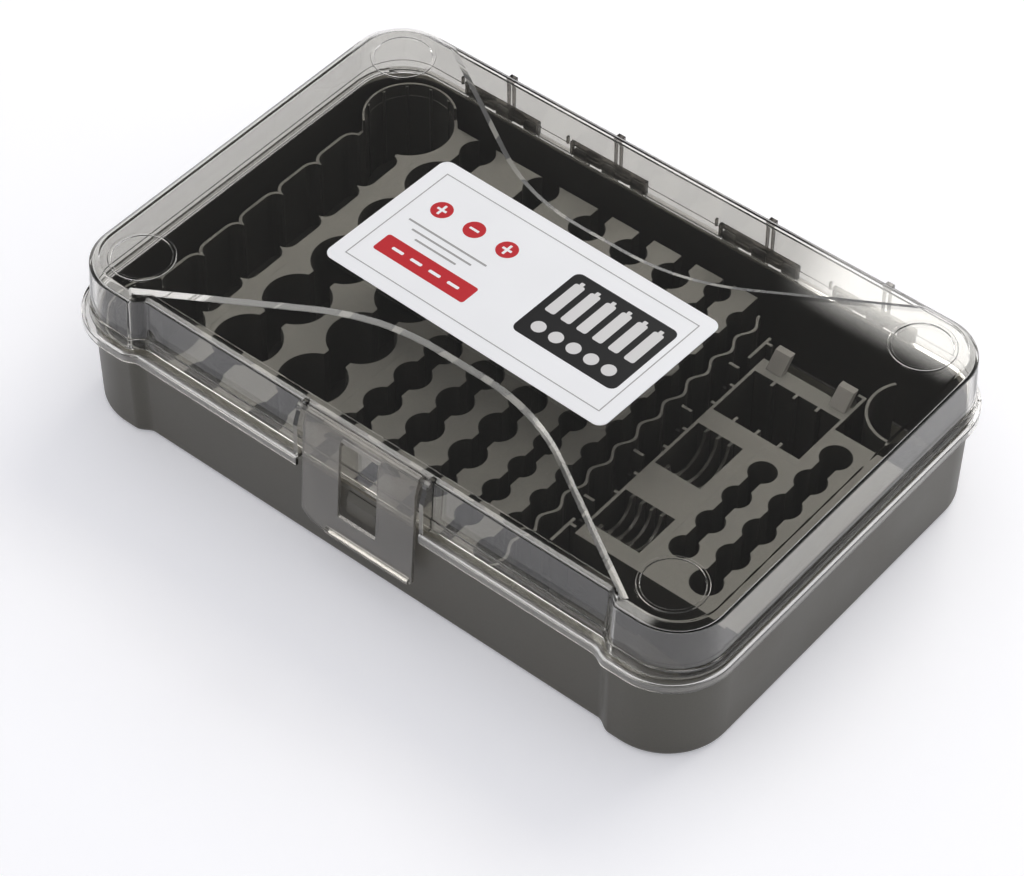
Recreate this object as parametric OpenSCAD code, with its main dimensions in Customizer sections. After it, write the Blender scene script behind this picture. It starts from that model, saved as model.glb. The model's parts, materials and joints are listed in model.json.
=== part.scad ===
/* [Overall] */
// Length of the closed box over its lid flange
box_l = 295; // [290:1:310]
// Depth of the closed box, front latch to rear hinges
box_w = 195; // [194:1:198]
// Height of the closed box
box_h = 70; // [68:1:80]

/* [Tray] */
// Height of the tray's rim
tray_h = 43.4; // [43:0.1:44]
// Length of the tray over its corners
tray_l = 290; // [288:1:290]
// Depth of the tray over its corners
tray_w = 188; // [186:1:189]
// Radius of the tray's upright corners
tray_corner_r = 27; // [26:1:28]
// Thickness of the tray's walls
tray_wall = 2.4; // [1.8:0.1:2.6]
// Thickness of the tray's floor
tray_floor = 2; // [1.6:0.1:2.4]
// How far the flat front lies inside the corners
tray_inset = 3; // [2:0.5:4]

/* [Lid] */
// Length of the lid's top over its corners
lid_l = 287; // [284:1:288]
// Depth of the lid's top, front corner to rear edge
lid_w = 185; // [184:1:186]
// Radius of the lid's upright corners
lid_corner_r = 21; // [20:1:24]
// Thickness of the lid's skin
lid_wall = 1.8; // [1.4:0.1:2.2]
// How far the lid's flat front lies inside its corners
lid_front_inset = 4; // [4:0.5:5]
// Width of the slope round the lid's top, seen from above
bevel_w = 3.6; // [3:0.1:4]
// Height of the slope round the lid's top
bevel_h = 2.3; // [1.8:0.1:2.4]
// How much the lid's front and rear trapezoids lie below its middle
trapezoid_step = 1; // [0.6:0.1:1]
// Radius of the round stacking ridges
ring_r = 12.8; // [10:0.1:13]

/* [Hinges] */
// Width of one hinge
hinge_w = 34.5; // [30:0.5:38]
// Diameter of a hinge pin
hinge_pin_d = 1.6; // [1.4:0.1:1.8]
// Radial clearance of a turning knuckle on its pin
turn_gap = 0.06; // [0.03:0.01:0.08]

/* [Latch] */
// Width of the latch
latch_w = 52; // [46:1:56]
// Thickness of the latch's panel
latch_t = 1.5; // [1.3:0.1:1.7]
// Height of the latch's lower edge over the floor
latch_low = 17.5; // [15:0.5:20]
// Width of the latch's window
window_w = 17.6; // [14:0.2:20]

/* [Battery racks] */
// Height of the racks' deck over the floor
deck_z = 36; // [32:1:38]
// Depth of the racks, front to rear
rack_w = 165; // [160:1:170]
// Thickness of the deck
deck_t = 1.6; // [1.2:0.1:2]
// Thickness of the pocket walls
pocket_wall = 1.2; // [0.8:0.1:1.2]
// Radius of a D cell pocket
d_r = 17.6; // [17.2:0.1:17.6]
// Radius of a C cell pocket
c_r = 13.3; // [13.1:0.1:13.4]
// Radius of an AA cell pocket
aa_r = 7.3; // [7.2:0.1:7.4]
// Radius of an AAA cell pocket
aaa_r = 5.3; // [5.2:0.1:5.4]
// Length of a 9 V battery pocket across its row
nine_l = 26.5; // [26:0.1:27]
// Distance from one 9 V pocket to the next
nine_pitch = 22.2; // [21.8:0.1:22.4]

/* [Label] */
// Length of the label
label_l = 133; // [120:1:138]
// Depth of the label
label_w = 68; // [60:1:70]

/* [Hidden] */
$fn = 48;

charcoal = "#504d49";
ash_grey = "#7b7975";
tab_grey = "#8f8d88";
smoke = [0.75, 0.75, 0.74, 0.35];
label_white = "#f4f4f2";
pin_grey = "#55534f";

over = 1;              // how far a cutter passes through what it cuts
body_gap = 0.3;        // air between the lid and the tray

// A plan outline is [half length, front half depth, rear half depth, corner radius, front inset];
// its points run anticlockwise from the front.
ramp_l = 7;            // length of the S-bend beside the flat front
flat_x = 106;          // where the flat front ends
ramp_n = 5;
arc_n = 8;
function ease(t) = (1 - cos(180 * t)) / 2;
function grow(o, g) = [o[0] + g, o[1] + g, o[2] + g, o[3] + g, o[4]];
function half_outline(o) = concat(
    [for (i = [0:ramp_n]) [flat_x + ramp_l * i / ramp_n, -o[1] + o[4] * (1 - ease(i / ramp_n))]],
    [for (i = [0:arc_n]) let (a = 90 * i / arc_n - 90)
        [o[0] - o[3] + o[3] * cos(a), -o[1] + o[3] + o[3] * sin(a)]],
    [for (i = [0:arc_n]) let (a = 90 * i / arc_n)
        [o[0] - o[3] + o[3] * cos(a), o[2] - o[3] + o[3] * sin(a)]]);
function outline(o) = let (h = half_outline(o), n = len(h))
    concat(h, [for (i = [n - 1:-1:0]) [-h[i][0], h[i][1]]]);

// The middle of an outline and of its four corners.
function fan_middles(o) = let (x = o[0] - o[3], front = o[3] - o[1], rear = o[2] - o[3])
    [[0, 0], [x, front], [x, rear], [-x, rear], [-x, front]];

// Triangles that fill an outline of n points: it isn't convex, so each corner is a fan round its
// own middle, and the rest is a fan round the outline's middle. The middles are points n to n + 4.
function fans(n) = let (
        f = ramp_n + arc_n + 1,
        corners = [[0, f], [f + 1, n / 2 - 1], [n / 2, n - f - 2], [n - f - 1, n - 1]],
        star = [for (k = [0:3]) each [corners[k][0], n + 1 + k, corners[k][1]]])
    concat([for (k = [0:3]) for (i = [corners[k][0]:corners[k][1] - 1]) [n + 1 + k, i, i + 1]],
           [for (k = [0:11]) [n, star[k], star[(k + 1) % 12]]]);

// A skin through outlines, each level [outline, z], closed at its first and last outline.
module skin(levels) {
    n = len(outline(levels[0][0]));
    m = len(levels);
    points = concat(
        [for (l = levels) for (p = outline(l[0])) [p[0], p[1], l[1]]],
        [for (l = [levels[0], levels[m - 1]]) for (p = fan_middles(l[0])) [p[0], p[1], l[1]]]);
    sides = [for (k = [0:m - 2]) for (i = [0:n - 1]) let (j = (i + 1) % n)
        each [[k * n + i, (k + 1) * n + i, k * n + j], [k * n + j, (k + 1) * n + i, (k + 1) * n + j]]];
    function at(v, e) = v < n ? e * (m - 1) * n + v : m * n + 5 * e + v - n;
    caps = [for (t = fans(n)) each [[at(t[0], 0), at(t[1], 0), at(t[2], 0)],
                                    [at(t[0], 1), at(t[2], 1), at(t[1], 1)]]];
    polyhedron(points, concat(sides, caps), convexity = 10);
}

// Tray
foot_r = 3;            // rounding of the tray's lower edge
tray_draft = 0.7;      // how much the tray narrows to its floor
tray_plan = [tray_l / 2, tray_w / 2, tray_w / 2, tray_corner_r, tray_inset];
rim_out = 0.7;         // how far the rim's band stands out, but for the rear
rim_z = tray_h - 2;
rim_plan = [tray_l / 2 + rim_out, tray_w / 2 + rim_out, tray_w / 2, tray_corner_r + rim_out, tray_inset];
catch_w = 13.4;
catch_z = [29, 40];
catch_y = -92.9;

// Lid
lid_draft = 1;         // how much the lid widens to its flange
lid_z = tray_h + body_gap;
lid_top_z = box_h - 0.4;
lid_front = lid_w / 2 - 0.5;
lid_rear = lid_w / 2 + 0.3;
lid_plan = [lid_l / 2, lid_front, lid_rear, lid_corner_r, lid_front_inset];
flange_plan = [box_l / 2, box_w / 2, 96.2, 26, 2.4];
bevel_l = norm([bevel_w, bevel_h]);
inner_bevel_w = lid_wall * (bevel_l - bevel_w) / bevel_h;   // how far inside the bevel the inner one starts
inner_bevel_h = lid_wall * (bevel_l - bevel_h) / bevel_w;   // how far below the bevel it ends
skirt_z = 41;          // the flange hangs over the tray's rim down to here
skirt_t = 1.4;
skirt_end_y = 86;      // behind here it has no skirt, so the lid can turn
ledge_top = 44.7;
bead_top = 45.2;       // the raised outer edge of the flange
bead_w = 1.5;
bead_r = 0.5;
step_z = 49.5;         // the small step low on the lid's wall
ring_x = 122.5;
ring_y = 73;
ring_w = 1.6;
front_bow = [[-36, -39.5], [36, -39.5], [113.6, -88], [113.6, -110], [-113.6, -110], [-113.6, -88]];
rear_bow = [[36, 43], [-36, 43], [-115, 92], [-115, 110], [115, 110], [115, 92]];
bow_bend = 26;         // length of the bend at the trapezoids' corners
step_w = 0.6;
rear_rib_dx = 5;
rear_rib_w = 3.1;      // across a pair of ribs
rear_rib_t = 0.6;
rear_rib_y = [92.4, 94.5];
rear_rib_z = [51, 67];

// Hinges
hinge_x = [-89, -36, 36, 89];
knuckle_r = 1.8;
knuckles = 5;
knuckle_gap = 0.4;
knuckle_l = (hinge_w - (knuckles - 1) * knuckle_gap) / knuckles;
hinge_y = box_w / 2 - knuckle_r;
hinge_z = 45.5;
hinge_notch_y = 93.4;
hinge_notch_top = 50;
knuckle_root = 0.6;    // how deep the lid's knuckles are rooted in its wall
stud_dx = -21;         // where a hinge's small stud stands beside it

// Latch
latch_axis = [-90.1, 67.5];     // y, z
latch_knuckle_r = 1.7;
latch_pin_r = 0.8;
latch_pin_l = 12;
crease = [-93.4, 62.3];         // where the latch bends from its slope to its panel
panel_low_y = -96.4;
window_z = [28.5, 65];
lip_x = [-14, 25];
lip_h = 3.2;
latch_corner = [10, 6];         // the large round of its lower left corner, along x and z
latch_corner_small = 1.5;
latch_gap = 28.6;               // half the width of the gap in the flange
latch_gap_y = -90.6;
latch_gap_top = 46.5;
cheek_x = [28.3, 30.2];
cheek_boss_r = 2;
cheek_side = [[-87.6, 44.2], [-94.2, 44.2], [-93.9, 60.7], [-88.8, 68.5], [-86.2, 68.4],
              [-86.2, 67], [-87.6, 66]];

// Label
label_x = -6;
label_y = 3;
label_turn = -1.5;
label_r = 4;
label_t = 0.25;

// Racks
cup_z = tray_floor;
cup_floor = 1.2;
rack_y = rack_w / 2;
d_x = -118.6;
d_y = 71.8;
d_wall_z = 42;
d_wall_in = 0.15;       // how much thinner it is there, on each side
d_wall_a = [50, 232];  // the D pocket's tall outer wall, in degrees round its middle
d_rib_a = [70, 102, 134, 166, 198];
nine_x = -120.75;
nine_r = 5;
nine_throat = 18.5;
nine_y = -1;
nine_n = 5;
c_x = [-87.7, -55.8];
c_y = -1.5;
c_pitch = 27.25;
c_n = 5;
c_waist = 10.5;
c_end = 78;            // distance from the middle of a C column to its AA pockets
aa_x = [-28.7, -8.45, 11.8];
aa_y = 71;
aa_pitch = 17;
aa_n = 9;
aa_waist = 7;
aaa_x = [30.7, 46.8];
aaa_y = [75.25, 68];
aaa_pitch = 14.45;
aaa_n = 11;
aaa_waist = 5;
seam_c_aa = -39.2;     // where one rack meets the next
seam_aa_aaa = 22.2;
wave_x = 52;
wave_a = 1.5;
wave_steps = 10;
channel_x = [54.5, 65];
channel_pitch = 28.5;
channel_y = 48.5;
channel_n = 5;
channel_end = 70;
channel_low = 22;
tongue_x = [56.5, 61];
tick_dy = 5.7;
tick_l = 1.6;
rib_t = 1.2;
bay_x = 66.2;
big_bay = [bay_x, 25.8, 105, 51.3];
coin_bay_1 = [bay_x, -8.5, 86.5, 17];
coin_bay_2 = [bay_x, -46, 88.5, -25.5];
coin_fin_1 = [71, 76.3, 81.6];
coin_fin_2 = [70.2, 74.7, 79.2, 83.7];
block_y = [-53, 58.5];
block_x = [65, 91.5, 106.2, 136];
button_y = 46;
big_bay_ribs = [75.5, 85.5, 95.5];
big_bay_rib_l = 2.5;
fin_foot = 0.8;
bracket_x = 60;
bracket_y = [-61, 55];
bracket_w = 13.5;
bracket_l = 3.5;
bracket_top_y = 65;
block_step_y = 22.5;
button_a = [98.7, 12.3, 5.5, 4, 5.5];    // x, first y, radius, count, waist
button_b = [114.7, 35, 6.2, 6, 7.2];
button_pitch = 15.35;
tab_x = [68.7, 97.2];
tab_w = 7;
tab_top = 42;
corner_x = 123.4;
corner_y = 69.8;
corner_r = 15.8;
corner_a = [145, 275];

function lobe_ys(first, pitch, n) = [for (i = [0:n - 1]) first - i * pitch];

// A box between two corners given as [x0, y0, x1, y1].
module area(a, g = 0) {
    translate([a[0] - g, a[1] - g]) square([a[2] - a[0] + 2 * g, a[3] - a[1] + 2 * g]);
}

// A column of round pockets joined by a straight slot.
module lobes(x, ys, r, waist, y0, y1, g = 0) {
    for (y = ys) translate([x, y]) circle(r + g);
    area([x - waist / 2, y0, x + waist / 2, y1], g);
}

// A rectangle with rounded corners, as points.
function round_rect(l, w, r, n = 4) = [for (q = [0:3], i = [0:n])
    let (a = 90 * q + 90 * i / n, sx = (q == 0 || q == 3) ? 1 : -1, sy = q < 2 ? 1 : -1)
    [sx * (l / 2 - r) + r * cos(a), sy * (w / 2 - r) + r * sin(a)]];

module nine_volt_row(g = 0) {
    span = (nine_n - 1) * nine_pitch;
    for (i = [0:nine_n - 1])
        translate([nine_x, nine_y - span / 2 + i * nine_pitch])
            polygon(round_rect(nine_l + 2 * g, nine_pitch + 2 * g, nine_r + g));
    translate([nine_x, 0]) square([nine_throat + 2 * g, 2 * d_y], center = true);
}

module d_9v_pockets(g = 0) {
    nine_volt_row(g);
    for (s = [-1, 1]) translate([d_x, s * d_y]) circle(d_r + g);
}

module c_pockets(g = 0) {
    mid = c_y + c_pitch * (c_n - 1) / 2;
    for (x = c_x) {
        lobes(x, lobe_ys(mid, c_pitch, c_n), c_r, c_waist, c_y - c_end, c_y + c_end, g);
        for (s = [-1, 1]) translate([x, c_y + s * c_end]) circle(aa_r + g);
    }
}

module aa_pockets(g = 0) {
    for (x = aa_x) lobes(x, lobe_ys(aa_y, aa_pitch, aa_n), aa_r, aa_waist, -rack_w, rack_w, g);
}

module aaa_pockets(g = 0) {
    for (i = [0, 1])
        lobes(aaa_x[i], lobe_ys(aaa_y[i], aaa_pitch, aaa_n), aaa_r, aaa_waist, -rack_w, rack_w, g);
}

module bay_pockets(g = 0) {
    area(big_bay, g);
    area(coin_bay_1, g);
    area(coin_bay_2, g);
}

module button_pockets(g = 0) {
    for (b = [button_a, button_b]) {
        last = b[1] - (b[3] - 1) * button_pitch;
        lobes(b[0], lobe_ys(b[1], button_pitch, b[3]), b[2], b[4], last, b[1], g);
    }
}

// The seam between the D and C racks bends round the D pockets.
seam_half = [[-103.4, 0], [-103.4, 59.5], [-99.3, 65], [-98.1, rack_y]];
seam_d_c = concat([for (i = [len(seam_half) - 1:-1:1]) [seam_half[i][0], -seam_half[i][1]]],
                  [for (i = [1:len(seam_half) - 1]) seam_half[i]]);

module d_9v_area() {
    polygon(concat([[nine_x, -rack_y]], seam_d_c, [[nine_x, rack_y]]));
}

module c_area() {
    polygon(concat(seam_d_c, [[seam_c_aa, rack_y], [seam_c_aa, -rack_y]]));
}

module aa_area() {
    area([seam_c_aa, -rack_y, seam_aa_aaa, rack_y]);
}

module aaa_area() {
    area([seam_aa_aaa, -rack_y, aaa_x[1], rack_y]);
}

module bay_area() {
    area([block_x[0], block_y[0], block_x[1], block_step_y]);
    area([block_x[0], block_step_y, block_x[2], block_y[1]]);
}

module button_area() {
    area([block_x[1], block_y[0], block_x[3], block_step_y]);
    area([block_x[2], block_step_y, block_x[3], button_y]);
}

// One rack: children are its area, its pockets and its pockets with their walls.
module rack() {
    translate([0, 0, cup_z]) linear_extrude(cup_floor) intersection() {
        children(0);
        children(2);
    }
    translate([0, 0, cup_z]) linear_extrude(deck_z - cup_z) difference() {
        intersection() {
            children(0);
            union() {
                children(2);
                end_skirts();
            }
        }
        children(1);
    }
    translate([0, 0, deck_z - deck_t]) linear_extrude(deck_t) difference() {
        children(0);
        children(1);
    }
}

module end_skirts() {
    for (s = [-1, 1])
        translate([0, s * (rack_y - pocket_wall / 2)]) square([box_l, pocket_wall], center = true);
}

// Blocks
module tray_shell() {
    color(charcoal) difference() {
        union() {
            skin(concat(
                [for (i = [0:3]) let (a = 30 * i)
                    [grow(tray_plan, -tray_draft - foot_r * (1 - sin(a))), foot_r * (1 - cos(a))]],
                [[tray_plan, rim_z - rim_out],
                 [rim_plan, rim_z],
                 [rim_plan, tray_h - 0.4],
                 [grow(rim_plan, -0.4), tray_h],
                 [grow(tray_plan, 0.4 - tray_wall), tray_h],
                 [grow(tray_plan, -tray_wall), tray_h - 0.5],
                 [grow(tray_plan, -tray_wall - tray_draft), tray_floor]]));
            tray_knuckles();
            tray_catch();
            for (x = hinge_x) translate([x + stud_dx, tray_w / 2 - 1.4, tray_h - over])
                cylinder(h = over + 0.25, r = 0.7, $fn = 24);
        }
        for (x = hinge_x) translate([x, hinge_y, hinge_z]) rotate([0, 90, 0])
            cylinder(h = hinge_w + 2 * over, d = hinge_pin_d, center = true);
    }
}

// Knuckle i of a hinge, from its left end.
module knuckle_at(x, i) {
    translate([x - hinge_w / 2 + i * (knuckle_l + knuckle_gap), 0, 0]) children();
}

module tray_knuckles() {
    for (x = hinge_x, i = [0:2:knuckles - 1]) knuckle_at(x, i) {
        translate([0, hinge_y, hinge_z]) rotate([0, 90, 0]) cylinder(h = knuckle_l, r = knuckle_r);
        rotate([90, 0, 90]) linear_extrude(knuckle_l)
            polygon([[tray_w / 2 - over, 37], [hinge_y + knuckle_r, 43], [hinge_y + knuckle_r, hinge_z],
                     [hinge_y - knuckle_r, hinge_z], [hinge_y - knuckle_r, tray_h - 2 * body_gap],
                     [tray_w / 2 - over, tray_h - 2 * body_gap]]);
    }
}

module tray_catch() {
    translate([-catch_w / 2, 0, 0]) rotate([90, 0, 90]) linear_extrude(catch_w)
        polygon([[-tray_w / 2 + tray_inset + over, catch_z[0]], [catch_y + 1, catch_z[0]],
                 [catch_y, catch_z[0] + 1.2], [catch_y, catch_z[1] - 3],
                 [catch_y + 1.5, catch_z[1]], [-tray_w / 2 + tray_inset + over, catch_z[1]]]);
}

// The tall outer wall of a D pocket, for the rear corner.
module d_outer_wall() {
    translate([d_x, d_y]) intersection() {
        difference() {
            circle(d_r + pocket_wall - d_wall_in);
            circle(d_r + d_wall_in);
        }
        polygon(concat([[0, 0]], [for (a = [d_wall_a[0]:26:d_wall_a[1]]) box_w * [cos(a), sin(a)]]));
    }
}

module rack_d_9v() {
    color(ash_grey) {
        rack() {
            union() {
                d_9v_area();
                d_9v_pockets(pocket_wall);
            }
            d_9v_pockets();
            d_9v_pockets(pocket_wall);
        }
        for (s = [0, 1]) mirror([0, s, 0]) {
            translate([0, 0, deck_z - over]) linear_extrude(d_wall_z - deck_z + over) d_outer_wall();
            for (a = d_rib_a) translate([d_x, d_y, cup_z + cup_floor / 2]) rotate([0, 0, a])
                translate([d_r + 0.2, 0, 0]) cylinder(h = d_wall_z - cup_z - 1.5, r = 0.7, $fn = 24);
        }
    }
}

module rack_c() {
    color(ash_grey) rack() {
        c_area();
        c_pockets();
        c_pockets(pocket_wall);
    }
}

module rack_aa() {
    color(ash_grey) rack() {
        aa_area();
        aa_pockets();
        aa_pockets(pocket_wall);
    }
}

module rack_aaa() {
    color(ash_grey) rack() {
        aaa_area();
        aaa_pockets();
        aaa_pockets(pocket_wall);
    }
}

// The thin wall that follows the AAA pockets' right sides.
module wavy_divider() {
    n = wave_steps * aaa_n;
    function wave(i) = let (y = aaa_y[1] + aaa_pitch / 2 - i * aaa_pitch / wave_steps)
        [wave_x - rib_t / 2 + wave_a * cos(360 * (y - aaa_y[1]) / aaa_pitch), y];
    line = [for (i = [0:n]) wave(i)];
    color(ash_grey) translate([0, 0, cup_z]) linear_extrude(deck_z - cup_z)
        polygon(concat(line, [for (i = [n:-1:0]) line[i] + [rib_t, 0]]));
}

module channel_ribs() {
    color(ash_grey) {
        translate([0, 0, cup_z]) linear_extrude(cup_floor)
            area([channel_x[0], -channel_end, channel_x[1], channel_end]);
        for (i = [0:channel_n - 1]) translate([0, channel_y - i * channel_pitch, cup_z]) {
            linear_extrude(channel_low - cup_z) area([channel_x[0], -rib_t / 2, channel_x[1], rib_t / 2]);
            linear_extrude(deck_z - cup_z) area([tongue_x[0], -rib_t / 2, tongue_x[1], rib_t / 2]);
        }
        for (i = [0:channel_n - 3], s = [-1, 1])
            translate([0, channel_y - (i + 0.5) * channel_pitch + s * tick_dy, cup_z])
                linear_extrude(deck_z - cup_z)
                    area([channel_x[1] - tick_l, -rib_t / 2, channel_x[1], rib_t / 2]);
    }
}

module bay_block() {
    color(ash_grey) {
        rack() {
            bay_area();
            bay_pockets();
            union() {
                bay_pockets(pocket_wall);
                area([block_x[0], block_y[0], bay_x, block_y[1]]);
                area([block_x[0], block_y[0], block_x[1], block_y[0] + pocket_wall]);
                area([block_x[0], block_y[1] - pocket_wall, block_x[2], block_y[1]]);
            }
        }
        for (x = big_bay_ribs, s = [0, 1])
            translate([x, s ? big_bay[3] : big_bay[1] + big_bay_rib_l, cup_z + cup_floor])
                linear_extrude(deck_z - cup_z - cup_floor)
                    area([-rib_t / 2, -big_bay_rib_l, rib_t / 2, 0]);
        translate([0, 0, cup_z]) linear_extrude(deck_z - cup_z) {
            area([block_x[2] - pocket_wall, block_y[1], block_x[2], bracket_top_y]);
            area([block_x[2] - bracket_l, bracket_top_y, block_x[2], bracket_top_y + rib_t]);
        }
    }
}

module button_rack() {
    color(ash_grey) rack() {
        button_area();
        button_pockets();
        union() {
            button_pockets(pocket_wall);
            area([block_x[1], block_y[0], block_x[3], block_y[0] + pocket_wall]);
            area([block_x[3] - pocket_wall, block_y[0], block_x[3], button_y]);
            area([block_x[2], button_y - pocket_wall, block_x[3], button_y]);
            area([block_x[2], block_step_y, block_x[2] + pocket_wall, button_y]);
        }
    }
}

// Upright fins across a coin bay, each with a round dip for the cells.
module coin_fins(bay, xs, dip_r) {
    mid = (bay[1] + bay[3]) / 2;
    for (x = xs) difference() {
        translate([x, mid, (cup_z + cup_floor + deck_z) / 2])
            cube([rib_t, bay[3] - bay[1], deck_z - cup_z - cup_floor], center = true);
        translate([x, mid, deck_z]) rotate([0, 90, 0])
            cylinder(h = rib_t + 2 * over, r = dip_r, center = true);
    }
    translate([0, 0, cup_z + cup_floor]) linear_extrude(fin_foot)
        area([bay[0], bay[1], bay[2], bay[3]]);
}

module coin_fins_large() {
    color(ash_grey) coin_fins(coin_bay_1, coin_fin_1, 10.5);
}

module coin_fins_small() {
    color(ash_grey) coin_fins(coin_bay_2, coin_fin_2, 8.2);
}

// A leaning tab of the battery tester's seat, behind the big bay.
module tester_tab(x) {
    color(tab_grey) translate([x, 0, 0]) rotate([90, 0, 90]) linear_extrude(tab_w)
        polygon([[block_y[1] - 4, deck_z], [block_y[1] - 0.8, deck_z], [block_y[1] + 4.4, tab_top],
                 [block_y[1] + 1.6, tab_top]]);
}

module tester_tab_left() {
    tester_tab(tab_x[0]);
}

module tester_tab_right() {
    tester_tab(tab_x[1]);
}

// The curved wall of the spare round pocket in the rear right corner.
module corner_wall() {
    color(ash_grey) translate([corner_x, corner_y, cup_z]) {
        linear_extrude(deck_z - cup_z) intersection() {
            difference() {
                circle(corner_r + pocket_wall);
                circle(corner_r);
            }
            polygon(concat([[0, 0]],
                [for (a = [corner_a[0]:26:corner_a[1]]) box_w * [cos(a), sin(a)]]));
        }
        linear_extrude(cup_floor) circle(corner_r + pocket_wall);
    }
}

// A thin upright wall with a short return, at the end of the channel.
module bracket(y) {
    color(ash_grey) translate([bracket_x, y, cup_z + cup_floor]) linear_extrude(deck_z - cup_z - cup_floor) {
        area([0, 0, rib_t, bracket_w]);
        area([0, bracket_w - bracket_l, bracket_l, bracket_w - bracket_l + rib_t]);
    }
}

module bracket_rear() {
    bracket(bracket_y[1]);
}

module bracket_front() {
    bracket(bracket_y[0]);
}

module hinge_pin(i) {
    color(pin_grey) translate([hinge_x[i], hinge_y, hinge_z]) rotate([0, 90, 0])
        cylinder(h = hinge_w, d = hinge_pin_d, center = true);
}

// A sharp corner b between a and c as a smooth bend that starts at distance d.
function bend(a, b, c, d, n = 8) = let (p = b + d * (a - b) / norm(a - b), q = b + d * (c - b) / norm(c - b))
    [for (i = [0:n]) let (t = i / n) (1 - t) * (1 - t) * p + 2 * t * (1 - t) * b + t * t * q];
function bowed(b) = concat(bend(b[5], b[0], b[1], bow_bend), bend(b[0], b[1], b[2], bow_bend),
                           [b[2], b[3], b[4], b[5]]);

module lid_shell() {
    color(smoke) difference() {
        union() {
            difference() {
                skin([[grow(lid_plan, -bevel_w - inner_bevel_w), lid_top_z - lid_wall],
                     [grow(lid_plan, -lid_wall), lid_top_z - bevel_h - inner_bevel_h],
                     [grow(lid_plan, lid_draft - lid_wall), lid_z],
                     [grow(flange_plan, -skirt_t), lid_z],
                     [grow(flange_plan, -skirt_t), skirt_z],
                     [flange_plan, skirt_z],
                     [flange_plan, bead_top - bead_r],
                     [grow(flange_plan, -bead_r), bead_top],
                     [grow(flange_plan, -bead_w), bead_top],
                     [grow(flange_plan, -bead_w), ledge_top],
                     [grow(lid_plan, lid_draft + step_w), ledge_top],
                     [grow(lid_plan, lid_draft + step_w), step_z - 0.5],
                     [grow(lid_plan, lid_draft + step_w - 0.5), step_z],
                     [grow(lid_plan, lid_draft), step_z],
                     [lid_plan, lid_top_z - bevel_h],
                     [grow(lid_plan, -bevel_w), lid_top_z]]);
                for (bow = [front_bow, rear_bow])
                    translate([0, 0, lid_top_z - trapezoid_step]) linear_extrude(over)
                        polygon(bowed(bow));
                for (x = hinge_x)
                    translate([x - hinge_w / 2 - 0.3, hinge_notch_y, lid_z - over])
                        cube([hinge_w + 0.6, box_w, hinge_notch_top - lid_z + over]);
                translate([-box_l, skirt_end_y, skirt_z - over])
                    cube([2 * box_l, box_w, lid_z + 0.3 - skirt_z + over]);
                translate([-latch_gap, latch_gap_y - box_w, skirt_z - over])
                    cube([2 * latch_gap, box_w, latch_gap_top - skirt_z + over]);
            }
            for (sx = [-1, 1], sy = [-1, 1])
                translate([sx * ring_x, sy * ring_y, lid_top_z - over / 2])
                    linear_extrude(box_h - lid_top_z + over / 2) difference() {
                        circle(ring_r);
                        circle(ring_r - ring_w);
                    }
            lid_knuckles();
            latch_cheeks();
            lid_rear_ribs();
        }
        for (x = hinge_x) translate([x, hinge_y, hinge_z]) rotate([0, 90, 0])
            cylinder(h = hinge_w, d = hinge_pin_d + 2 * turn_gap, center = true);
        translate([0, latch_axis[0], latch_axis[1]]) rotate([0, 90, 0])
            cylinder(h = 2 * (cheek_x[1] + over), r = latch_pin_r, center = true);
    }
}

module lid_knuckles() {
    for (x = hinge_x, i = [1:2:knuckles - 1]) knuckle_at(x, i) {
        translate([0, hinge_y, hinge_z]) rotate([0, 90, 0]) cylinder(h = knuckle_l, r = knuckle_r);
        rotate([90, 0, 90]) linear_extrude(knuckle_l)
            polygon([[hinge_notch_y - knuckle_root, hinge_z - 0.3], [hinge_y, hinge_z - 0.3],
                     [hinge_y, hinge_z + 1.4], [hinge_y - 1.2, hinge_notch_top + knuckle_root],
                     [hinge_notch_y - knuckle_root, hinge_notch_top + knuckle_root]]);
    }
}

// The two plates beside the latch, each with a round boss for its pin.
module latch_cheeks() {
    for (s = [0, 1]) mirror([s, 0, 0]) translate([cheek_x[0], 0, 0])
        rotate([90, 0, 90]) linear_extrude(cheek_x[1] - cheek_x[0]) {
            translate(latch_axis) circle(cheek_boss_r);
            polygon(cheek_side);
        }
}

// Over each hinge, a pair of upright ribs on the lid's rear wall, joined at the top.
module lid_rear_ribs() {
    for (x = hinge_x) translate([x + rear_rib_dx, rear_rib_y[1], rear_rib_z[0]]) rotate([90, 0, 0])
        linear_extrude(rear_rib_y[1] - rear_rib_y[0]) difference() {
            area([-rear_rib_w / 2, 0, rear_rib_w / 2, rear_rib_z[1] - rear_rib_z[0]]);
            area([-rear_rib_w / 2 + rear_rib_t, -over, rear_rib_w / 2 - rear_rib_t,
                  rear_rib_z[1] - rear_rib_z[0] - rear_rib_t]);
        }
}

module lid_label() {
    color(label_white) translate([label_x, label_y, lid_top_z]) rotate([0, 0, label_turn])
        linear_extrude(label_t) {
            square([label_l - 2 * label_r, label_w], center = true);
            square([label_l, label_w - 2 * label_r], center = true);
            for (sx = [-1, 1], sy = [-1, 1])
                translate([sx * (label_l / 2 - label_r), sy * (label_w / 2 - label_r)]) circle(label_r);
        }
}

module latch_pin(s) {
    color(pin_grey) translate([s * (cheek_x[1] - latch_pin_l / 2), latch_axis[0], latch_axis[1]])
        rotate([0, 90, 0]) cylinder(h = latch_pin_l, r = latch_pin_r, center = true);
}

// The latch from the front: a large round low on its left, a small one on its right.
module latch_front() {
    w = latch_w / 2;
    polygon(concat(
        [[w, box_h], [-w, box_h]],
        [for (i = [0:6]) let (a = 180 + 15 * i)
            [-w + latch_corner[0] * (1 + cos(a)), latch_low + latch_corner[1] * (1 + sin(a))]],
        [for (i = [0:3]) let (a = 270 + 30 * i)
            [w - latch_corner_small * (1 - cos(a)), latch_low + latch_corner_small * (1 + sin(a))]]));
}

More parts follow.
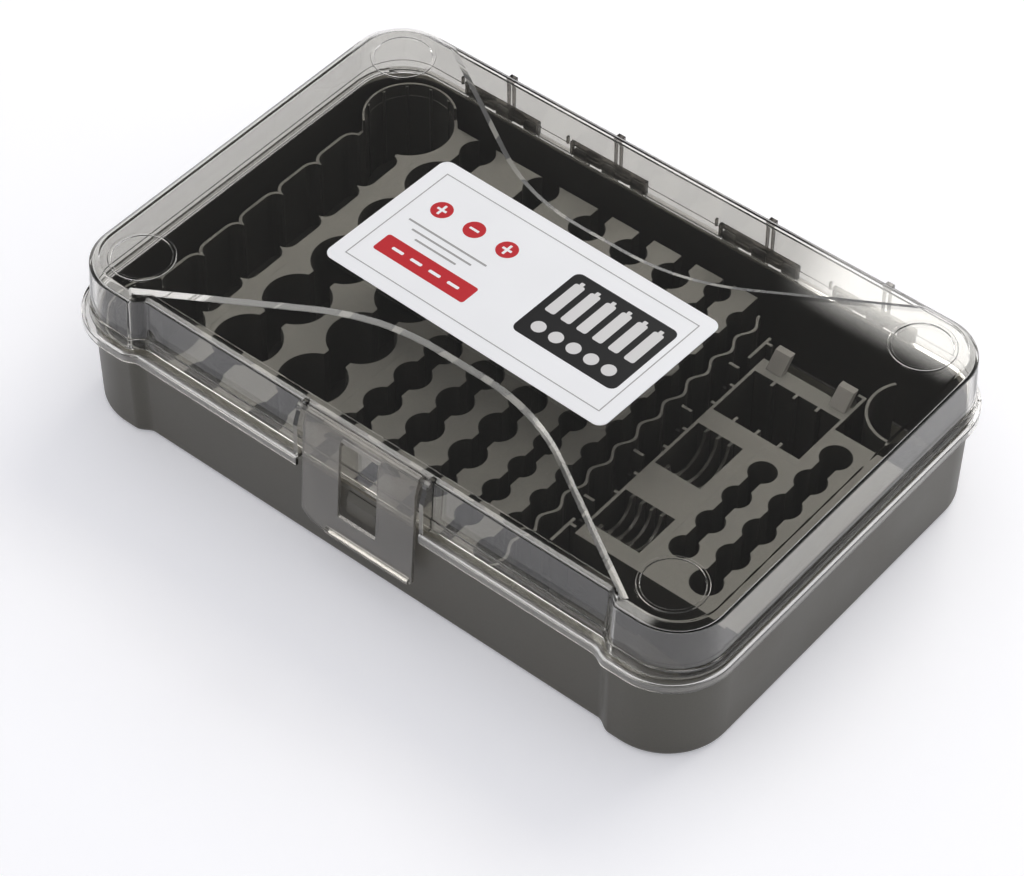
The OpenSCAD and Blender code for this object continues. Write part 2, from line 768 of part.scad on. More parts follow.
module latch() {
    color(smoke) difference() {
        intersection() {
            union() {
                rotate([90, 0, 90]) linear_extrude(latch_w, center = true)
                    polygon([latch_axis, latch_axis + [-1.52, 0.4], crease, [panel_low_y, latch_low],
                             [panel_low_y + latch_t, latch_low], crease + [latch_t - 0.1, -0.7],
                             latch_axis + [0.2, -1.2]]);
                translate([0, latch_axis[0], latch_axis[1]]) rotate([0, 90, 0])
                    cylinder(h = latch_w, r = latch_knuckle_r, center = true);
                translate([lip_x[0], 0, latch_low]) rotate([90, 0, 90])
                    linear_extrude(lip_x[1] - lip_x[0])
                        polygon([[panel_low_y + 0.8, 0], [panel_low_y - 0.4, 0],
                                 [-box_w / 2, 0.7], [-box_w / 2, lip_h - 1.2],
                                 [panel_low_y, lip_h], [panel_low_y + 0.8, lip_h]]);
            }
            rotate([90, 0, 0]) linear_extrude(box_w) latch_front();
        }
        translate([-window_w / 2, crease[0] - 5, window_z[0]])
            cube([window_w, 10, window_z[1] - window_z[0]]);
        translate([0, latch_axis[0], latch_axis[1]]) rotate([0, 90, 0])
            cylinder(h = latch_w + 2 * over, r = latch_pin_r + turn_gap, center = true);
    }
}

tray_shell();
rack_d_9v();
rack_c();
rack_aa();
rack_aaa();
wavy_divider();
channel_ribs();
bay_block();
button_rack();
coin_fins_large();
coin_fins_small();
tester_tab_left();
tester_tab_right();
corner_wall();
bracket_rear();
bracket_front();
hinge_pin(0);  // hinge_pin_1
hinge_pin(1);  // hinge_pin_2
hinge_pin(2);  // hinge_pin_3
hinge_pin(3);  // hinge_pin_4
lid_shell();
lid_label();
latch_pin(-1);  // latch_pin_left
latch_pin(1);  // latch_pin_right
latch();
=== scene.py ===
"""Looks of a hinged-lid battery storage case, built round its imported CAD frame.

The tray, the clear lid and the latch are modelled again with fine curves and soft edges. The racks, tabs
and pins stay as they come, with moulded plastics on them. The label gets a plain printed design.
Shapes are worked out in millimetres: +X runs to the right, -Y to the front and +Z up.
"""
import json
import math

import bmesh
import bpy
from mathutils import Matrix, Vector

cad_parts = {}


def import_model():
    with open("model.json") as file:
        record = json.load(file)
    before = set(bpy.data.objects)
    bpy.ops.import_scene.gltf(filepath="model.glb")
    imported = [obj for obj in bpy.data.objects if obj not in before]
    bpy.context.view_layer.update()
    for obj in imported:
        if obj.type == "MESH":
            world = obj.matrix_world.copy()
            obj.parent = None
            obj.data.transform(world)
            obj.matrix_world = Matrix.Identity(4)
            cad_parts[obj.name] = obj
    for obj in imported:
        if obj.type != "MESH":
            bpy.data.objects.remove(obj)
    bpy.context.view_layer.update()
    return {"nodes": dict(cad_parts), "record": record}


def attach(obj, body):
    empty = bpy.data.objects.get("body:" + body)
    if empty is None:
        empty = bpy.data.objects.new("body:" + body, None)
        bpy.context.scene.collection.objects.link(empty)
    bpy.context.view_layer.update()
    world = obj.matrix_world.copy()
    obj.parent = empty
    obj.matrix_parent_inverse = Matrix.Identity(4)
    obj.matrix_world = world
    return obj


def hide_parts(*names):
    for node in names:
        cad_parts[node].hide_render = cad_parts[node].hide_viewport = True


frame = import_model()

MM = 0.001
nodes = frame["nodes"]
scene = bpy.context.scene


# ---------------------------------------------------------------- node helper

def linear(hex_colour):
    """An sRGB hex colour as linear RGBA."""
    channels = [int(hex_colour[i:i + 2], 16) / 255 for i in (1, 3, 5)]
    return tuple(c / 12.92 if c <= 0.04045 else ((c + 0.055) / 1.055) ** 2.4 for c in channels) + (1.0,)


def add(tree, kind, settings=(), links=()):
    """Adds a node with its settings, which are attributes or inputs, and its links, from input to socket."""
    node = tree.nodes.new(kind)
    for key, value in dict(settings).items():
        if isinstance(key, int) or key in node.inputs:
            node.inputs[key].default_value = value
        else:
            setattr(node, key, value)
    for key, socket in dict(links).items():
        tree.links.new(socket, node.inputs[key])
    return node


def new_material(name):
    material = bpy.data.materials.new(name)
    material.use_nodes = True
    material.node_tree.nodes.clear()
    return material, material.node_tree


# ---------------------------------------------------------------- materials

FLOW_MM = 38                  # flow marks in moulded polypropylene
RIPPLE_MM = 24                # waves in the polished face of moulded polystyrene
WIPE_MM = 9                   # patches of dust and wiping on it
PEEL_MM = 0.8                 # orange-peel of vinyl and ink
TONE_MM = 30                  # slow changes in a printed colour
POCKET_TOP_MM = 24            # level plastic above this height is the racks' deck; the rest of the racks gets painted shade
INWARDS_M = (-0.01, -0.002)   # a face's distance from the upright axis, times how far it looks away from it:
                              # inside the tray below the first value, outside above the second


def on_deck(tree, place):
    """1 on the racks' level deck, 0 on upright walls and down in the pockets, where the racks get painted shade."""
    height = add(tree, "ShaderNodeSeparateXYZ", (), {0: place.outputs["Object"]})
    upward = add(tree, "ShaderNodeSeparateXYZ", (), {0: place.outputs["Normal"]})
    above = add(tree, "ShaderNodeMath", {"operation": "GREATER_THAN", 1: POCKET_TOP_MM * MM},
                {0: height.outputs["Z"]})
    level = add(tree, "ShaderNodeMapRange", {"From Min": 0.3, "From Max": 0.8}, {"Value": upward.outputs["Z"]})
    deck = add(tree, "ShaderNodeMath", {"operation": "MULTIPLY"}, {0: above.outputs[0], 1: level.outputs[0]})
    return deck.outputs[0]


def faces_outwards(tree, place):
    """0 where the surface faces the case's upright axis, 1 where it faces away or is level. Where it is 0, inside
    the tray, the tray gets painted shade.
    """
    sideways = add(tree, "ShaderNodeVectorMath", {"operation": "MULTIPLY", 1: (1, 1, 0)},
                   {0: place.outputs["Object"]})
    facing_out = add(tree, "ShaderNodeVectorMath", {"operation": "DOT_PRODUCT"},
                     {0: sideways.outputs[0], 1: place.outputs["Normal"]})
    out = add(tree, "ShaderNodeMapRange", {"From Min": INWARDS_M[0], "From Max": INWARDS_M[1]},
              {"Value": facing_out.outputs["Value"]})
    return out.outputs["Result"]


def moulded_polypropylene(name, colour, worn, roughness, grain_depth_mm, grain_mm=0.7, edge_mm=0.35,
                          unshaded_mask=None, painted_shade_colour=None):
    """Injection-moulded polypropylene: a satin skin with a fine spark-eroded grain, a faint mottle from
    the flow of the melt, and edges that the mould rounds and handling polishes. A mask, where given, keeps
    the plastic's colour on the racks' deck and the tray's outside; what it leaves out, the racks' walls and
    pockets and the tray's inside, gets a deeper second colour, which is painted shade."""
    material, tree = new_material(name)
    place = add(tree, "ShaderNodeTexCoord")
    at = place.outputs["Object"]
    flow = add(tree, "ShaderNodeTexNoise", {"Scale": 1 / (FLOW_MM * MM), "Detail": 3.0, "Roughness": 0.55},
               {"Vector": at})
    grain = add(tree, "ShaderNodeTexNoise", {"Scale": 1 / (grain_mm * MM), "Detail": 2.0, "Roughness": 0.6},
                {"Vector": at})
    mottle = add(tree, "ShaderNodeMapRange", {"From Min": 0.3, "From Max": 0.7, "To Min": 0.0, "To Max": 1.0},
                 {"Value": flow.outputs["Fac"]})
    tint = add(tree, "ShaderNodeMix", {"data_type": "RGBA", 6: linear(colour), 7: linear(worn)},
               {0: mottle.outputs["Result"]})
    shown = tint.outputs[2]
    if unshaded_mask:
        shown = add(tree, "ShaderNodeMix", {"data_type": "RGBA", 6: linear(painted_shade_colour)},
                    {0: unshaded_mask(tree, place), 7: shown}).outputs[2]
    speck = add(tree, "ShaderNodeMapRange", {"From Min": 0.25, "From Max": 0.75, "To Min": 0.93, "To Max": 1.07},
                {"Value": grain.outputs["Fac"]})
    speckled = add(tree, "ShaderNodeVectorMath", {"operation": "SCALE"},
                   {0: shown, "Scale": speck.outputs["Result"]})
    sheen = add(tree, "ShaderNodeMapRange",
                {"From Min": 0.3, "From Max": 0.7, "To Min": roughness - 0.05, "To Max": roughness + 0.06},
                {"Value": flow.outputs["Fac"]})
    edge = add(tree, "ShaderNodeBevel", {"samples": 4, "Radius": edge_mm * MM})
    bump = add(tree, "ShaderNodeBump", {"Strength": 0.6, "Distance": grain_depth_mm * MM},
               {"Height": grain.outputs["Fac"], "Normal": edge.outputs["Normal"]})
    shader = add(tree, "ShaderNodeBsdfPrincipled", {"IOR": 1.49},
                 {"Base Color": speckled.outputs[0], "Roughness": sheen.outputs["Result"],
                  "Normal": bump.outputs["Normal"]})
    add(tree, "ShaderNodeOutputMaterial", (), {"Surface": shader.outputs[0]})
    return material


def smoked_polystyrene(name, tint, lamp_tint, haze):
    """Clear polystyrene, injection moulded with a light smoke tint and polished: glassy, with bright
    edges. A little haze stands for the dust and fine scratches on it. Lamps shine straight through."""
    material, tree = new_material(name)
    place = add(tree, "ShaderNodeTexCoord")
    at = place.outputs["Object"]
    ripple = add(tree, "ShaderNodeTexNoise", {"Scale": 1 / (RIPPLE_MM * MM), "Detail": 1.0}, {"Vector": at})
    wipe = add(tree, "ShaderNodeTexNoise", {"Scale": 1 / (WIPE_MM * MM), "Detail": 4.0, "Roughness": 0.65},
               {"Vector": at})
    waves = add(tree, "ShaderNodeBump", {"Strength": 0.15, "Distance": 0.05 * MM},
                {"Height": ripple.outputs["Fac"]})
    gloss = add(tree, "ShaderNodeMapRange", {"From Min": 0.35, "From Max": 0.75, "To Min": 0.0, "To Max": 0.02},
                {"Value": wipe.outputs["Fac"]})
    clear = add(tree, "ShaderNodeBsdfPrincipled",
                {"Base Color": linear(tint), "IOR": 1.59, "Transmission Weight": 1.0},
                {"Roughness": gloss.outputs["Result"], "Normal": waves.outputs["Normal"]})
    dust = add(tree, "ShaderNodeBsdfDiffuse", {"Color": linear("#b4b1ab")})
    dusty = add(tree, "ShaderNodeMixShader", {0: haze}, {1: clear.outputs[0], 2: dust.outputs[0]})
    lamp = add(tree, "ShaderNodeBsdfTransparent", {"Color": linear(lamp_tint)})
    ray = add(tree, "ShaderNodeLightPath")
    surface = add(tree, "ShaderNodeMixShader", (),
                  {0: ray.outputs["Is Shadow Ray"], 1: dusty.outputs[0], 2: lamp.outputs[0]})
    add(tree, "ShaderNodeOutputMaterial", (), {"Surface": surface.outputs[0]})
    return material


def printed_vinyl(name, colour, roughness):
    """Vinyl label film and the inks printed on it: smooth and satin, with a faint orange-peel."""
    material, tree = new_material(name)
    place = add(tree, "ShaderNodeTexCoord")
    at = place.outputs["Object"]
    peel = add(tree, "ShaderNodeTexNoise", {"Scale": 1 / (PEEL_MM * MM), "Detail": 2.0}, {"Vector": at})
    tone = add(tree, "ShaderNodeTexNoise", {"Scale": 1 / (TONE_MM * MM), "Detail": 2.0}, {"Vector": at})
    level = add(tree, "ShaderNodeMapRange", {"From Min": 0.3, "From Max": 0.7, "To Min": 0.97, "To Max": 1.0},
                {"Value": tone.outputs["Fac"]})
    ink = add(tree, "ShaderNodeVectorMath", {"operation": "SCALE", 0: linear(colour)[:3]},
              {"Scale": level.outputs["Result"]})
    bump = add(tree, "ShaderNodeBump", {"Strength": 0.3, "Distance": 0.01 * MM}, {"Height": peel.outputs["Fac"]})
    shader = add(tree, "ShaderNodeBsdfPrincipled", {"IOR": 1.5, "Roughness": roughness},
                 {"Base Color": ink.outputs[0], "Normal": bump.outputs["Normal"]})
    add(tree, "ShaderNodeOutputMaterial", (), {"Surface": shader.outputs[0]})
    return material


# The tray's inside is painted darker than its outside: painted shade.
charcoal_pp = moulded_polypropylene("moulded_polypropylene_charcoal", "#4a4840", "#504d45", roughness=0.42,
                                    grain_depth_mm=0.05, unshaded_mask=faces_outwards, painted_shade_colour="#201f1d")
# The racks' upright walls and pockets are painted much darker than the deck: painted shade.
ash_pp = moulded_polypropylene("moulded_polypropylene_ash", "#767570", "#7e7c76", roughness=0.55,
                               grain_depth_mm=0.04, unshaded_mask=on_deck, painted_shade_colour="#2a2926")
# The coin fins are smoother than the deck, and painted darker: painted shade down in the coin bays.
fin_pp = moulded_polypropylene("moulded_polypropylene_ash_smooth_painted_shade", "#42413d", "#4a4944", roughness=0.3,
                               grain_depth_mm=0.02)
tab_pp = moulded_polypropylene("moulded_polypropylene_light_grey", "#8b8883", "#93908a", roughness=0.45,
                               grain_depth_mm=0.04)
nylon = moulded_polypropylene("drawn_nylon_dark_grey", "#474542", "#4e4c48", roughness=0.35,
                              grain_depth_mm=0.02, grain_mm=0.5, edge_mm=0.2)
lid_clear = smoked_polystyrene("moulded_polystyrene_smoke_lid", tint="#e9e8e5",
                               lamp_tint="#f4f3f1", haze=0.005)
thick_clear = smoked_polystyrene("moulded_polystyrene_smoke_thick", tint="#6f6b66",
                                 lamp_tint="#a5a29d", haze=0.01)
latch_clear = smoked_polystyrene("moulded_polystyrene_smoke_latch", tint="#c3c0ba",
                                 lamp_tint="#d8d5d0", haze=0.11)
vinyl_white = printed_vinyl("printed_vinyl_white", "#fafaf8", roughness=0.35)
ink_red = printed_vinyl("screen_ink_red", "#c9242c", roughness=0.32)
ink_black = printed_vinyl("screen_ink_black", "#1f1f20", roughness=0.3)
ink_grey = printed_vinyl("screen_ink_grey", "#a9a7a3", roughness=0.32)
ink_pale = printed_vinyl("screen_ink_pale_grey", "#dedcd8", roughness=0.32)

FINISHES = {
    "tray": charcoal_pp, "rack": ash_pp, "tab": tab_pp, "pin": nylon,
    "lid": lid_clear, "latch": latch_clear, "label": vinyl_white,
}
for sub_part in frame["record"]["subparts"]:
    cad_mesh = nodes[sub_part["node"]].data
    cad_mesh.materials.clear()
    finish = fin_pp if sub_part["node"].startswith("coin_fins") else FINISHES[sub_part["material_slot"]]
    cad_mesh.materials.append(finish)


# ---------------------------------------------------------------- mesh helpers

def piece(name, points, faces, material, body=None, slot=None):
    """A mesh object from points in millimetres."""
    mesh = bpy.data.meshes.new(name)
    mesh.from_pydata([(x * MM, y * MM, z * MM) for x, y, z in points], [], faces)
    mesh.update()
    mesh.materials.append(material)
    obj = bpy.data.objects.new(name, mesh)
    scene.collection.objects.link(obj)
    if body:
        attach(obj, body)
    return obj


def joined(solids):
    """One list of points and faces from several."""
    points, faces = [], []
    for some_points, some_faces in solids:
        base = len(points)
        points += some_points
        faces += [[base + i for i in face] for face in some_faces]
    return points, faces


def skin(rings):
    """Points and faces of a closed skin through rings that all have the same number of corners."""
    n = len(rings[0])
    last = n * (len(rings) - 1)
    sides = [[k + i, k + (i + 1) % n, k + n + (i + 1) % n, k + n + i] for k in range(0, last, n) for i in range(n)]
    ends = [list(range(n))[::-1], list(range(last, last + n))]
    return [corner for ring in rings for corner in ring], sides + ends


def extruded(loop, place, start, end):
    """A prism: the 2D loop, with place(u, v, w) giving each corner at w = start and w = end."""
    return skin([[place(u, v, w) for u, v in loop] for w in (start, end)])


def upright(u, v, w):
    """A loop seen from above, extruded in z."""
    return u, v, w


def lengthwise(u, v, w):
    """A loop in (y, z), extruded along x."""
    return w, u, v


def facing(u, v, w):
    """A loop in (x, z), extruded along y, away from the front."""
    return u, w, v


def block(x0, x1, y0, y1, z0, z1):
    return extruded([(x0, y0), (x1, y0), (x1, y1), (x0, y1)], upright, z0, z1)


def faced_out(obj):
    """Turns the faces of a closed mesh outwards."""
    mesh = bmesh.new()
    mesh.from_mesh(obj.data)
    bmesh.ops.recalc_face_normals(mesh, faces=mesh.faces)
    mesh.to_mesh(obj.data)
    mesh.free()
    return obj


def combined(obj, solids, operation):
    """Cuts the solids from obj, joins them to it, or keeps what obj shares with them."""
    other = faced_out(piece("tool_for_" + obj.name, *joined(solids), charcoal_pp))
    boolean = obj.modifiers.new("shape", "BOOLEAN")
    boolean.operation = operation
    boolean.solver = "EXACT"
    boolean.object = other
    applied(obj)
    bpy.data.objects.remove(other)


def applied(obj):
    """Applies obj's modifiers."""
    bpy.context.view_layer.update()
    graph = bpy.context.evaluated_depsgraph_get()
    mesh = bpy.data.meshes.new_from_object(obj.evaluated_get(graph))
    obj.modifiers.clear()
    old = obj.data
    obj.data = mesh
    bpy.data.meshes.remove(old)


def smoothed(obj, sharp_deg):
    """Smooth shading that keeps edges sharper than sharp_deg, and lets the big faces stay flat."""
    mesh = obj.data
    mesh.polygons.foreach_set("use_smooth", [True] * len(mesh.polygons))
    mesh.set_sharp_from_angle(angle=math.radians(sharp_deg))
    weighted = obj.modifiers.new("flat faces stay flat", "WEIGHTED_NORMAL")
    weighted.keep_sharp = True
    weighted.weight = 90


# ---------------------------------------------------------------- outlines
# A plan is (half length, front half depth, rear half depth, corner radius, front inset), in mm.

RAMP = 7            # length of the S-bend beside the flat front
FLAT_X = 106        # where the flat front ends
RAMP_STEPS = 12
ARC_STEPS = 24
MOST_SHARE = 0.48   # of a profile's side that a corner's rounding may take, so that two corners never meet


def grow(plan, by):
    """The plan with its sides moved outwards."""
    return tuple(value + by for value in plan[:4]) + plan[4:]


def ease(t):
    return (1 - math.cos(math.pi * t)) / 2


def arc(x, y, r, start, end, steps):
    angles = [math.radians(start + (end - start) * i / steps) for i in range(steps + 1)]
    return [(x + r * math.cos(a), y + r * math.sin(a)) for a in angles]


def circle(x, y, r, corners):
    return arc(x, y, r, 0, 360 - 360 / corners, corners - 1)


def outline(plan):
    """The plan's outline, anticlockwise from its flat front."""
    length, front, rear, r, front_in = plan
    ramp = [i / RAMP_STEPS for i in range(RAMP_STEPS + 1)]
    half = [(FLAT_X + RAMP * t, -front + front_in * (1 - ease(t))) for t in ramp]
    half += arc(length - r, r - front, r, -90, 0, ARC_STEPS)
    half += arc(length - r, rear - r, r, 0, 90, ARC_STEPS)
    return half + [(-x, y) for x, y in reversed(half)]


def soft_rings(levels, steps=4):
    """A ring of corners for each level (plan, z, radius), or several where the profile has a radius there."""
    soft = []
    for i, (plan, z, radius) in enumerate(levels):
        if not radius:
            soft.append((plan, z))
            continue
        ends = []
        for other, other_z, _ in (levels[i - 1], levels[i + 1]):
            share = min(MOST_SHARE, radius / math.hypot(other[1] - plan[1], other_z - z))
            ends.append((tuple(a + share * (b - a) for a, b in zip(plan, other)), z + share * (other_z - z)))
        trio = (ends[0], (plan, z), ends[1])
        for t in (k / steps for k in range(steps + 1)):
            weights = ((1 - t) ** 2, 2 * t * (1 - t), t ** 2)
            soft.append((tuple(sum(w * p[0][j] for w, p in zip(weights, trio)) for j in range(5)),
                         sum(w * p[1] for w, p in zip(weights, trio))))
    return [[(x, y, z) for x, y in outline(plan)] for plan, z in soft]


# ---------------------------------------------------------------- sizes, in mm, as in the CAD source

LID_TOP = 69.6
LID_WALL = 1.8
LID = (143.5, 92, 92.8, 21, 4)
LID_DRAFT = 1
LID_Z = 43.7                      # lower end of the lid's wall
FLANGE = (147.5, 97.5, 96.2, 26, 2.4)
SKIRT_Z = 41                      # lower edge of the skirt under the flange
SKIRT_T = 1.4
SKIRT_END_Y = 86                  # where the skirt stops, short of the rear
LEDGE_TOP = 44.7
BEAD_TOP = 45.2
BEAD_W = 1.5
STEP_Z = 49.5
STEP_W = 0.6
BEVEL_W = 3.6                     # width and height of the slope round the lid's top
BEVEL_H = 2.3
SUNK = 1                          # how far the front and rear trapezoids lie below the lid's middle
BEND_REACH = 26                   # how far from its corner each bend of a trapezoid starts
# Clockwise, with the outer corners beyond the lid's edge.
FRONT_TRAPEZOID = [(-36, -39.5), (36, -39.5), (113.6, -88), (113.6, -110), (-113.6, -110), (-113.6, -88)]
REAR_TRAPEZOID = [(36, 43), (-36, 43), (-115, 92), (-115, 110), (115, 110), (115, 92)]
RING_AT = (122.5, 73)
RING_R = 12.8
RING_W = 1.6
RING_H = 0.4

TRAY = (145, 94, 94, 27, 3)
RIM = (145.7, 94.7, 94, 27.7, 3)
TRAY_H = 43.4
TRAY_WALL = 2.4
TRAY_FLOOR = 2
TRAY_DRAFT = 0.7
FOOT_R = 3
CATCH_W = 13.4

HINGE_X = (-89, -36, 36, 89)
HINGE_W = 34.5
HINGE = (95.7, 45.5)              # y, z
KNUCKLE_R = 1.8
KNUCKLES = 5
KNUCKLE_GAP = 0.4
KNUCKLE_ROOT = 0.6                # how deep the lid's knuckles are rooted in its wall
PIN_R = 0.8
TURN_GAP = 0.06
NOTCH_Y = 93.4
NOTCH_TOP = 50
NOTCH_GAP = 0.3                   # between a hinge's end and its notch
RIB_PAIR = (5, 3.1, 0.6)          # middle from the hinge's middle, width, thickness
RIB_Y = (92.4, 94.5)
RIB_Z = (51, 67)
STUD = (-21, 92.6, 0.7, 0.25)     # on the tray: middle from the hinge's middle, y, radius, height

LATCH_AXIS = (-90.1, 67.5)        # y, z
CHEEK_X = (28.3, 30.2)
CHEEK_BOSS_R = 2
LATCH_BAY = (28.6, -90.6, 46.5)   # half width, rear and top of the bay in the flange that the latch hangs in
LATCH_W = 52
LATCH_T = 1.5
LATCH_LOW = 17.5                  # z of its lower edge
LATCH_FACE_Y = (-96.4, -93.4)     # its outer face, at its lower edge and just below its eye
LATCH_EYE_R = 1.7
LATCH_LIP_X = (-14, 25)
WINDOW = (8.8, 28.5, 65)          # half width, lower and upper edge

# The rest of the list is only in this scene.
SLOPE_W = 2.3                     # width of the slope down to the trapezoids
RING_ROUND = ((0, 0.3), (0.15, 0.08), (0.35, 0))    # in from a ridge's side, and down from its top
NOTCH_RIM_W = 1                   # the rim round each hinge's notch
NOTCH_RIM_Y = (93.6, 95.3)
LUG = (-20, 0.4, 94.8, 2.5)       # on that rim: middle from the hinge's middle, half width, end in y, height
FAR_X, FAR_Y = 160, 120           # beyond the case, where cuts may end


def knuckle_spans(which):
    """Start and end in x of every second knuckle of each hinge, from knuckle which."""
    length = (HINGE_W - (KNUCKLES - 1) * KNUCKLE_GAP) / KNUCKLES
    starts = [x - HINGE_W / 2 + i * (length + KNUCKLE_GAP) for x in HINGE_X for i in range(which, KNUCKLES, 2)]
    return [(start, start + length) for start in starts]


def hinge_span(x, past=0):
    """Start and end in x of the hinge at x, or of a space that goes past both its ends."""
    return x - HINGE_W / 2 - past, x + HINGE_W / 2 + past


def pin_hole(y, z, r, x0, x1):
    return extruded(circle(y, z, r, 32), lengthwise, x0, x1)


# ---------------------------------------------------------------- lid

def bend(a, b, c, d, steps=10):
    """Points of a smooth bend at b between a and c, which starts d from b."""
    a, b, c = Vector(a), Vector(b), Vector(c)
    p, q = b + d * (a - b).normalized(), b + d * (c - b).normalized()
    shares = [i / steps for i in range(steps + 1)]
    return [tuple((1 - t) ** 2 * p + 2 * t * (1 - t) * b + t * t * q) for t in shares]


def shifted(loop, by):
    """A closed anticlockwise loop moved outwards by a distance."""
    moved = []
    for i, here in enumerate(loop):
        before, after = Vector(here) - Vector(loop[i - 1]), Vector(loop[(i + 1) % len(loop)]) - Vector(here)
        one, two = Vector((before.y, -before.x)).normalized(), Vector((after.y, -after.x)).normalized()
        middle = (one + two).normalized()
        moved.append(tuple(Vector(here) + middle * by / max(middle.dot(one), 0.3)))
    return moved


def sunk_trapezoid(corners):
    """The solid cut from the lid's top over a trapezoid, with a slope along its sides."""
    a, b, c, d, e, f = corners
    loop = (bend(f, a, b, BEND_REACH) + bend(a, b, c, BEND_REACH) + [c, d, e, f])[::-1]
    over = 1 / 3          # the slope goes on above the lid's top, by this share of its depth
    low, high = shifted(loop, -SLOPE_W / 2), shifted(loop, SLOPE_W * (0.5 + over))
    return skin([[(x, y, LID_TOP - SUNK) for x, y in low], [(x, y, LID_TOP + SUNK * over) for x, y in high]])


def stacking_ring(x, y):
    """A low round ridge with a rounded top."""
    base, top = LID_TOP - SUNK - 0.4, LID_TOP + RING_H
    inner_r = RING_R - RING_W
    profile = [(inner_r, base), (RING_R, base)]
    profile += [(RING_R - inset, top - drop) for inset, drop in RING_ROUND]
    profile += [(inner_r + inset, top - drop) for inset, drop in reversed(RING_ROUND)]
    turns, n = 64, len(profile)
    points = [(x + r * math.cos(2 * math.pi * k / turns), y + r * math.sin(2 * math.pi * k / turns), z)
              for k in range(turns) for r, z in profile]
    faces = [[k * n + i, ((k + 1) % turns) * n + i, ((k + 1) % turns) * n + (i + 1) % n, k * n + (i + 1) % n]
             for k in range(turns) for i in range(n)]
    return points, faces


def cheek(sign):
    """The plate beside the latch, with its round boss, as one loop in (y, z)."""
    loop = [(-87.6, 44.2), (-87.6, 66), (-86.2, 67), (-86.2, 68.4)]
    loop += arc(*LATCH_AXIS, CHEEK_BOSS_R, 28, 215, 20) + [(-93.9, 60.7), (-94.2, 44.2)]
    return extruded(loop, lengthwise, *sorted((sign * CHEEK_X[0], sign * CHEEK_X[1])))


def lid_shell():
    below = grow(LID, LID_DRAFT + STEP_W)
    bevel = math.hypot(BEVEL_W, BEVEL_H)
    inner_w = BEVEL_W + LID_WALL * (bevel - BEVEL_W) / BEVEL_H
    inner_h = BEVEL_H + LID_WALL * (bevel - BEVEL_H) / BEVEL_W
    levels = [
        (grow(LID, -inner_w - 3), LID_TOP - LID_WALL, 0),
        (grow(LID, -inner_w), LID_TOP - LID_WALL, 0.4),
        (grow(LID, -LID_WALL), LID_TOP - inner_h, 0.4),
        (grow(LID, LID_DRAFT - LID_WALL), LID_Z, 0.2),
        (grow(FLANGE, -SKIRT_T), LID_Z, 0.3),
        (grow(FLANGE, -SKIRT_T), SKIRT_Z, 0.3),
        (FLANGE, SKIRT_Z, 0.5),
        (FLANGE, BEAD_TOP, 0.7),
        (grow(FLANGE, -BEAD_W), BEAD_TOP, 0.35),
        (grow(FLANGE, -BEAD_W), LEDGE_TOP, 0.2),
        (below, LEDGE_TOP, 0.4),
        (below, STEP_Z, 0.4),
        (grow(LID, LID_DRAFT), STEP_Z, 0.2),
        (LID, LID_TOP - BEVEL_H, 0.5),
        (grow(LID, -BEVEL_W), LID_TOP, 0.4),
        (grow(LID, -BEVEL_W - 3), LID_TOP, 0)]
    shell = faced_out(piece("lid_shell_clear", *skin(soft_rings(levels)), lid_clear, "lid", "lid"))
    bay_x, bay_y, bay_top = LATCH_BAY
    cuts = [sunk_trapezoid(FRONT_TRAPEZOID), sunk_trapezoid(REAR_TRAPEZOID),
            block(-FAR_X, FAR_X, SKIRT_END_Y, FAR_Y, SKIRT_Z - 1, LID_Z + 0.3),
            block(-bay_x, bay_x, -FAR_Y, bay_y, SKIRT_Z - 1, bay_top)]
    combined(shell, cuts, "DIFFERENCE")
    notches = [block(*hinge_span(x, NOTCH_GAP), NOTCH_Y, FAR_Y, LID_Z - 1, NOTCH_TOP) for x in HINGE_X]
    combined(shell, notches, "DIFFERENCE")
    rings = [stacking_ring(sx * RING_AT[0], sy * RING_AT[1]) for sx in (-1, 1) for sy in (-1, 1)]
    combined(shell, [cheek(-1), cheek(1)] + rings, "UNION")
    combined(shell, [pin_hole(*LATCH_AXIS, PIN_R, x - 3, x + 3) for x in (-CHEEK_X[1], CHEEK_X[1])], "DIFFERENCE")
    smoothed(shell, sharp_deg=14)
    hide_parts("lid_shell")


def lid_knuckle(x0, x1):
    """A knuckle with the arm that joins it to the lid's wall, as one loop."""
    y, z = HINGE
    arm_y, arm_top = NOTCH_Y - KNUCKLE_ROOT, NOTCH_TOP + KNUCKLE_ROOT
    loop = arc(y, z, KNUCKLE_R, -178, 75, 22) + [(y - 1.2, arm_top), (arm_y, arm_top), (arm_y, z - 0.3)]
    return extruded(loop, lengthwise, x0, x1)


def arch(x, inside, outside, z0, lintel, z1, span_y):
    """Two upright legs with a lintel across them, as one loop in (x, z). Inside and outside count from x."""
    loop = [(x - outside, z0), (x - inside, z0), (x - inside, lintel), (x + inside, lintel),
            (x + inside, z0), (x + outside, z0), (x + outside, z1), (x - outside, z1)]
    return extruded(loop, facing, *span_y)


